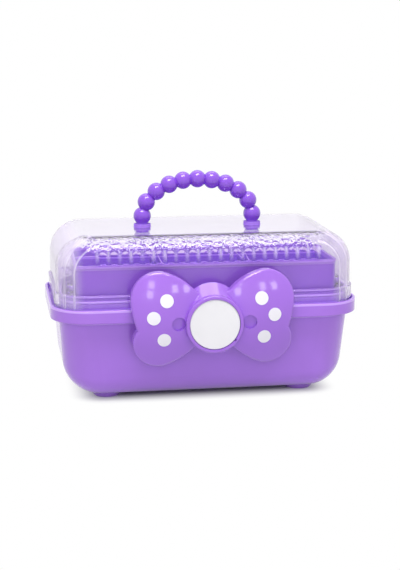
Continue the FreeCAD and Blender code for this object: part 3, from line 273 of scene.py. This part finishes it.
def lid_clear(name):
    """The lid: clear, hammered over the flutes, milkier at the ends, with painted highlight streaks at the flutes
    and painted highlight lines round the front corners, purple at the handle's seats.
    """
    work = Nodes(name)
    where = work.add("ShaderNodeTexCoord").outputs["Object"]
    ripple = work.noise(where, 60.0, 1.0)
    stretch = work.add("ShaderNodeMapping")
    stretch.inputs["Scale"].default_value = PEBBLE_STRETCH
    work.join(where, stretch.inputs["Vector"])
    pebbles = work.noise(stretch.outputs[0], 1.0, 1.0)
    place = work.add("ShaderNodeSeparateXYZ")
    work.join(where, place.inputs[0])
    aside = work.math("ABSOLUTE", place.outputs["X"])
    above_flutes = work.rise(place.outputs["Z"], *PEBBLE_START)
    below_top = work.rise(place.outputs["Z"], *PEBBLE_END)
    in_front = work.rise(place.outputs["Y"], *PEBBLE_FRONT)
    off_corner = work.rise(aside, *PEBBLE_SIDE)
    band = work.math("MULTIPLY", above_flutes, below_top)
    patch = work.math("MULTIPLY", in_front, off_corner)
    hammered = work.math("MULTIPLY", pebbles, work.math("MULTIPLY", band, patch))
    gentle = work.bump(ripple, 0.1, 0.0001, work.soft_edges(0.0008))
    flute_band = work.math(
        "MULTIPLY", work.rise(place.outputs["Z"], *FLUTE_FOOT), work.rise(place.outputs["Z"], *FLUTE_HEAD))
    flute_patch = work.math("MULTIPLY", work.rise(place.outputs["Y"], *FLUTE_FRONT), work.rise(aside, *FLUTE_SIDE))
    fluted = work.math("MULTIPLY", flute_band, flute_patch)
    clear = clear_shell(work, work.bump(hammered, 0.6, 0.0008, gentle), 0.015, 0.05, fluted)
    haze_and_highlight = work.add("ShaderNodeBsdfDiffuse")
    haze_and_highlight.inputs["Color"].default_value = HAZE_AND_HIGHLIGHT
    thicker = work.add("ShaderNodeMapRange", interpolation_type="SMOOTHSTEP")
    thicker.inputs["From Min"].default_value, thicker.inputs["From Max"].default_value = HAZE_ENDS
    thicker.inputs["To Min"].default_value, thicker.inputs["To Max"].default_value = HAZE_SHARES
    work.join(aside, thicker.inputs["Value"])
    milky_and_highlit = blended(work, thicker.outputs["Result"], clear, haze_and_highlight.outputs[0])
    # Painted highlight: pale streaks at the cusps between the flutes, drawn with the pale diffuse shader
    off_cusp = work.math("PINGPONG", aside, constant=FLUTE_PITCH / 2)
    cusps = work.math("MULTIPLY", work.rise(off_cusp, *FLUTE_HIGHLIGHT_LINE), work.rise(place.outputs["Z"], *FLUTE_FADE))
    painted_streaks = work.math("MULTIPLY", work.math("MULTIPLY", cusps, fluted), work.spread(ripple, 0.2, 1.0))
    milky_and_highlit = blended(work, work.math("MULTIPLY", painted_streaks, constant=FLUTE_HIGHLIGHT_SHARE), milky_and_highlit, haze_and_highlight.outputs[0])

    # Two painted highlight lines run round the front corners, level with the corner's rounding, where moulded
    # steps catch the light
    over = work.math("MAXIMUM", work.math("SUBTRACT", aside, constant=CORNER_X), constant=0.0)
    up = work.math("MAXIMUM", work.math("SUBTRACT", place.outputs["Z"], constant=CORNER_Z), constant=0.0)
    reach = work.math("SQRT", work.math("ADD", work.math("MULTIPLY", over, over), work.math("MULTIPLY", up, up)))
    corner_front = work.rise(place.outputs["Y"], *CORNER_FRONT)
    outward = work.rise(aside, *CORNER_SIDE)
    for radius_out in CORNER_HIGHLIGHT_RADII:
        off_line = work.math("ABSOLUTE", work.math("SUBTRACT", reach, constant=radius_out))
        line = work.math("MULTIPLY", work.rise(off_line, 0.0008, 0.0), work.spread(ripple, 0.35, 1.0))
        share = work.math("MULTIPLY", line, work.math("MULTIPLY", corner_front, outward))
        milky_and_highlit = blended(work, work.math("MULTIPLY", share, constant=0.65), milky_and_highlit, haze_and_highlight.outputs[0])
    off_seat = work.add("ShaderNodeCombineXYZ")
    work.join(work.math("SUBTRACT", aside, constant=SEAT_X), off_seat.inputs["X"])
    work.join(work.math("SUBTRACT", place.outputs["Y"], constant=SEAT_Y), off_seat.inputs["Y"])
    radius = work.add("ShaderNodeVectorMath", operation="LENGTH")
    work.join(off_seat.outputs[0], radius.inputs[0])
    on_seat = work.math(
        "MULTIPLY", work.rise(radius.outputs["Value"], *SEAT_RIM), work.rise(place.outputs["Z"], *SEAT_FOOT))
    purple = work.add("ShaderNodeBsdfDiffuse")
    purple.inputs["Color"].default_value = SEAT_PURPLE
    output = work.add("ShaderNodeOutputMaterial")
    work.join(blended(work, on_seat, milky_and_highlit, purple.outputs[0]), output.inputs["Surface"])
    return work.material


def clear_plastic(name):
    """Clear plastic of the arms and their pins, with faint moulding ripples."""
    work = Nodes(name)
    where = work.add("ShaderNodeTexCoord").outputs["Object"]
    normal = work.bump(work.noise(where, 80.0, 1.0), 0.1, 0.00008)
    output = work.add("ShaderNodeOutputMaterial")
    work.join(clear_shell(work, normal, 0.03, 0.08), output.inputs["Surface"])
    return work.material


def steel(name):
    """Drawn steel with fine lines along the pin."""
    work = Nodes(name)
    where = work.add("ShaderNodeTexCoord").outputs["Object"]
    stretch = work.add("ShaderNodeMapping")
    stretch.inputs["Scale"].default_value = (30.0, 1500.0, 1500.0)
    work.join(where, stretch.inputs["Vector"])
    lines = work.noise(stretch.outputs[0], 1.0, 3.0)
    shader = work.add("ShaderNodeBsdfPrincipled")
    shader.inputs["Metallic"].default_value = 1.0
    work.join(work.two_tones(lines, scaled(STEEL_GREY, 0.85), STEEL_GREY), shader.inputs["Base Color"])
    work.join(work.spread(lines, 0.22, 0.4), shader.inputs["Roughness"])
    work.join(work.bump(lines, 0.2, 0.00002), shader.inputs["Normal"])
    output = work.add("ShaderNodeOutputMaterial")
    work.join(shader.outputs[0], output.inputs["Surface"])
    return work.material


# The tub, riser and tray plastics carry painted highlight bands along their edges
tub_plastic = plastic(
    "tub_plastic", TUB_PURPLE, 0.22, coat=0.5, edge=0.0012, lip=RIM_HIGHLIGHT, highlight_bands=RIM_HIGHLIGHT_BANDS)
riser_plastic = plastic(
    "riser_plastic", TRAY_PURPLE, 0.22, coat=0.5, edge=0.0008, lip=RIM_HIGHLIGHT, highlight_bands=RISER_HIGHLIGHT_BANDS)
tray_plastic = plastic(
    "tray_plastic", TRAY_PURPLE, 0.22, edge=0.0012, lip=TRAY_HIGHLIGHT, highlight_bands=TRAY_HIGHLIGHT_BANDS)
bow_plastic = plastic("bow_plastic", BOW_PURPLE, 0.15, coat=0.5)
bead_plastic = plastic("bead_plastic", BEAD_PURPLE, 0.22, coat=0.5)
disc_plastic = plastic("disc_plastic", DISC_WHITE, 0.35, coat=0.0)
dot_plastic = plastic("dot_plastic", DOT_WHITE, 0.3, coat=0.1)
lid_plastic = lid_clear("lid_plastic")
arm_plastic = clear_plastic("arm_plastic")
pin_plastic = clear_plastic("pin_plastic")
pin_steel = steel("pin_steel")

FINISHES = (
    ("lid_tray_pin", pin_plastic), ("hinge_pin", pin_steel), ("clasp_pin", pin_steel),
    ("handle_screw", pin_steel), ("lid", lid_plastic), ("handle", bead_plastic),
    ("front_arm", arm_plastic), ("rear_arm", arm_plastic),
    ("bow_badge", disc_plastic), ("bow_dot", dot_plastic), ("bow_clasp", bow_plastic),
    ("upper_tray", tray_plastic),
    ("lower_tray", tray_plastic), ("", tub_plastic),
)
for name, node in nodes.items():
    finish = next(material for start, material in FINISHES if name.startswith(start))
    node.data.materials.clear()
    node.data.materials.append(finish)


# A ribbed riser on the front half of the tub's lip, seen through the lid's foot

RISER_HALF = (0.1145, 0.0619)
RISER_CORNER = 0.0230
RISER_BACK = 0.012
RISER_RAMP = 0.022
RISER_LOW = 0.05
RISER_BASE = 0.0789
RISER_PROFILE = ((0.0, 0.0), (0.0, 0.0012), (0.0004, 0.0016), (0.0004, 0.0029), (0.0, 0.0033),
                 (0.0, 0.0052), (0.0004, 0.0056), (0.0004, 0.0068), (0.0, 0.0072), (-0.0009, 0.0072),
                 (-0.0013, 0.0068), (-0.0013, 0.0))
CORNER_TURNS = 12


def riser_path():
    """Points round the front half of the lip: place, outward direction and share of the height."""
    half_x, half_y = RISER_HALF
    path = [(-half_x, RISER_BACK, -1.0, 0.0, RISER_LOW), (-half_x, RISER_BACK - RISER_RAMP, -1.0, 0.0, 1.0)]
    for side, first in ((-1, 180), (1, 270)):
        centre_x, centre_y = side * (half_x - RISER_CORNER), -half_y + RISER_CORNER
        for turn in range(CORNER_TURNS + 1):
            angle = math.radians(first + 90 * turn / CORNER_TURNS)
            out_x, out_y = math.cos(angle), math.sin(angle)
            path.append((centre_x + RISER_CORNER * out_x, centre_y + RISER_CORNER * out_y, out_x, out_y, 1.0))
    path.append((half_x, RISER_BACK - RISER_RAMP, 1.0, 0.0, 1.0))
    path.append((half_x, RISER_BACK, 1.0, 0.0, RISER_LOW))
    return path


def lip_riser():
    path = riser_path()
    around = len(RISER_PROFILE)
    verts = [(x + out * out_x, y + MIDDLE_Y + out * out_y, RISER_BASE + up * height)
             for x, y, out_x, out_y, height in path for out, up in RISER_PROFILE]
    faces = [(step * around + side, step * around + (side + 1) % around,
              (step + 1) * around + (side + 1) % around, (step + 1) * around + side)
             for step in range(len(path) - 1) for side in range(around)]
    last = (len(path) - 1) * around
    faces.append(tuple(reversed(range(around))))
    faces.append(tuple(range(last, last + around)))
    mesh = bpy.data.meshes.new("lip_riser")
    mesh.from_pydata(verts, [], faces)
    mesh.materials.append(riser_plastic)
    mesh.update()
    riser = bpy.data.objects.new("lip_riser", mesh)
    scene.collection.objects.link(riser)
    bpy.context.view_layer.objects.active = riser
    bpy.ops.object.select_all(action="DESELECT")
    riser.select_set(True)
    bpy.ops.object.mode_set(mode="EDIT")
    bpy.ops.mesh.select_all(action="SELECT")
    bpy.ops.mesh.normals_make_consistent(inside=False)
    bpy.ops.object.mode_set(mode="OBJECT")
    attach(riser, "tub")
    return riser


MIDDLE_Y = 0.00575
lip_riser()


# Camera, at the fitted place of the photograph's

def aim(thing, target):
    thing.rotation_euler = (Vector(target) - thing.location).to_track_quat("-Z", "Y").to_euler()


camera = bpy.data.objects.new("camera", bpy.data.cameras.new("camera"))
scene.collection.objects.link(camera)
camera.data.sensor_fit = "HORIZONTAL"
camera.data.sensor_width = 36.0
camera.data.lens = 121.995
camera.data.clip_start = 0.01
camera.location = (-0.1716, -1.0810 + MIDDLE_Y, 0.3011)
aim(camera, (0.00276, MIDDLE_Y, 0.07974))
scene.camera = camera


# Lamps, world and floor

def lamp(name, place, target, width, height, power, mirrored=True, only=None):
    light = bpy.data.lights.new(name, "AREA")
    light.shape = "RECTANGLE"
    light.size = width
    light.size_y = height
    light.energy = power
    thing = bpy.data.objects.new(name, light)
    thing.visible_glossy = mirrored
    thing.visible_transmission = mirrored
    scene.collection.objects.link(thing)
    thing.location = place
    aim(thing, target)
    if only:
        lit = bpy.data.collections.new(name + "_lit")
        lit.objects.link(only)
        thing.light_linking.receiver_collection = lit


def towards(azimuth, elevation, distance):
    """A place seen from the object at this azimuth from the front, to the right, and elevation."""
    turn, tilt = math.radians(azimuth), math.radians(elevation)
    return (distance * math.cos(tilt) * math.sin(turn), -distance * math.cos(tilt) * math.cos(turn),
            HEART[2] + distance * math.sin(tilt))


HEART = (0.0, 0.0, 0.07)
lamp("front", (-0.2, -1.6, 0.55), HEART, 1.2, 0.8, 7.6, mirrored=False)
lamp("high_left", towards(-26, 66, 1.25), HEART, 0.4, 0.35, 6.0)
lamp("high_right", towards(20, 70, 1.25), HEART, 0.4, 0.35, 5.0)
lamp("back", (0.0, 0.42, 1.25), HEART, 1.0, 0.3, 2.5)
for side in (-1, 1):
    lamp("side", (1.5 * side, 0.1, 0.6), HEART, 0.9, 0.6, 3.0, mirrored=False)
lamp("rear", (0.0, 1.6, 0.5), HEART, 1.2, 0.6, 4.0, mirrored=False)
BOW_WINDOWS = ((-16, 33), (17, 27), (-17, 21), (33, 25))
for azimuth, elevation in BOW_WINDOWS:
    lamp("bow_window", towards(azimuth, elevation, 1.2), HEART, 0.15, 0.19, 0.42, only=nodes["bow_clasp"])

# What the eye sees of the surroundings is plain white, and what lights the object is less
AMBIENT = 0.40

world = bpy.data.worlds.new("world")
scene.world = world
world.use_nodes = True
sky = Nodes("sky", world.node_tree)
level = sky.add("ShaderNodeMapRange")
level.inputs["To Min"].default_value = AMBIENT
level.inputs["To Max"].default_value = 1.0
sky.join(sky.seen_rays(), level.inputs["Value"])
background = sky.add("ShaderNodeBackground")
background.inputs["Color"].default_value = (1.0, 1.0, 1.0, 1.0)
sky.join(level.outputs["Result"], background.inputs["Strength"])
sky_output = sky.add("ShaderNodeOutputWorld")
sky.join(background.outputs[0], sky_output.inputs["Surface"])


def floor_white():
    """A white floor that keeps the shadow under the object and is plain white beyond it."""
    work = Nodes("floor_white")
    where = work.add("ShaderNodeTexCoord").outputs["Object"]
    folded = work.add("ShaderNodeVectorMath", operation="ABSOLUTE")
    work.join(where, folded.inputs[0])
    beyond = work.add("ShaderNodeVectorMath", operation="SUBTRACT")
    beyond.inputs[1].default_value = (0.080, 0.030, 0.0)
    work.join(folded.outputs[0], beyond.inputs[0])
    outside = work.add("ShaderNodeVectorMath", operation="MAXIMUM")
    work.join(beyond.outputs[0], outside.inputs[0])
    distance = work.add("ShaderNodeVectorMath", operation="LENGTH")
    work.join(outside.outputs[0], distance.inputs[0])
    away = work.rise(distance.outputs["Value"], 0.0, 0.030)
    grain = work.noise(where, 500.0, 2.0)
    diffuse = work.add("ShaderNodeBsdfDiffuse")
    work.join(work.two_tones(grain, (0.60, 0.60, 0.61, 1.0), (0.63, 0.63, 0.64, 1.0)), diffuse.inputs["Color"])
    white = work.add("ShaderNodeEmission")
    mix = work.add("ShaderNodeMixShader")
    work.join(work.math("MULTIPLY", work.seen_rays(), away), mix.inputs[0])
    work.join(diffuse.outputs[0], mix.inputs[1])
    work.join(white.outputs[0], mix.inputs[2])
    output = work.add("ShaderNodeOutputMaterial")
    work.join(mix.outputs[0], output.inputs["Surface"])
    return work.material


FLOOR_HALF = 3.0
floor_mesh = bpy.data.meshes.new("floor")
floor_mesh.from_pydata(
    [(-FLOOR_HALF, -FLOOR_HALF, 0), (FLOOR_HALF, -FLOOR_HALF, 0),
     (FLOOR_HALF, FLOOR_HALF, 0), (-FLOOR_HALF, FLOOR_HALF, 0)], [], [(0, 1, 2, 3)])
floor_mesh.materials.append(floor_white())
floor = bpy.data.objects.new("floor", floor_mesh)
scene.collection.objects.link(floor)
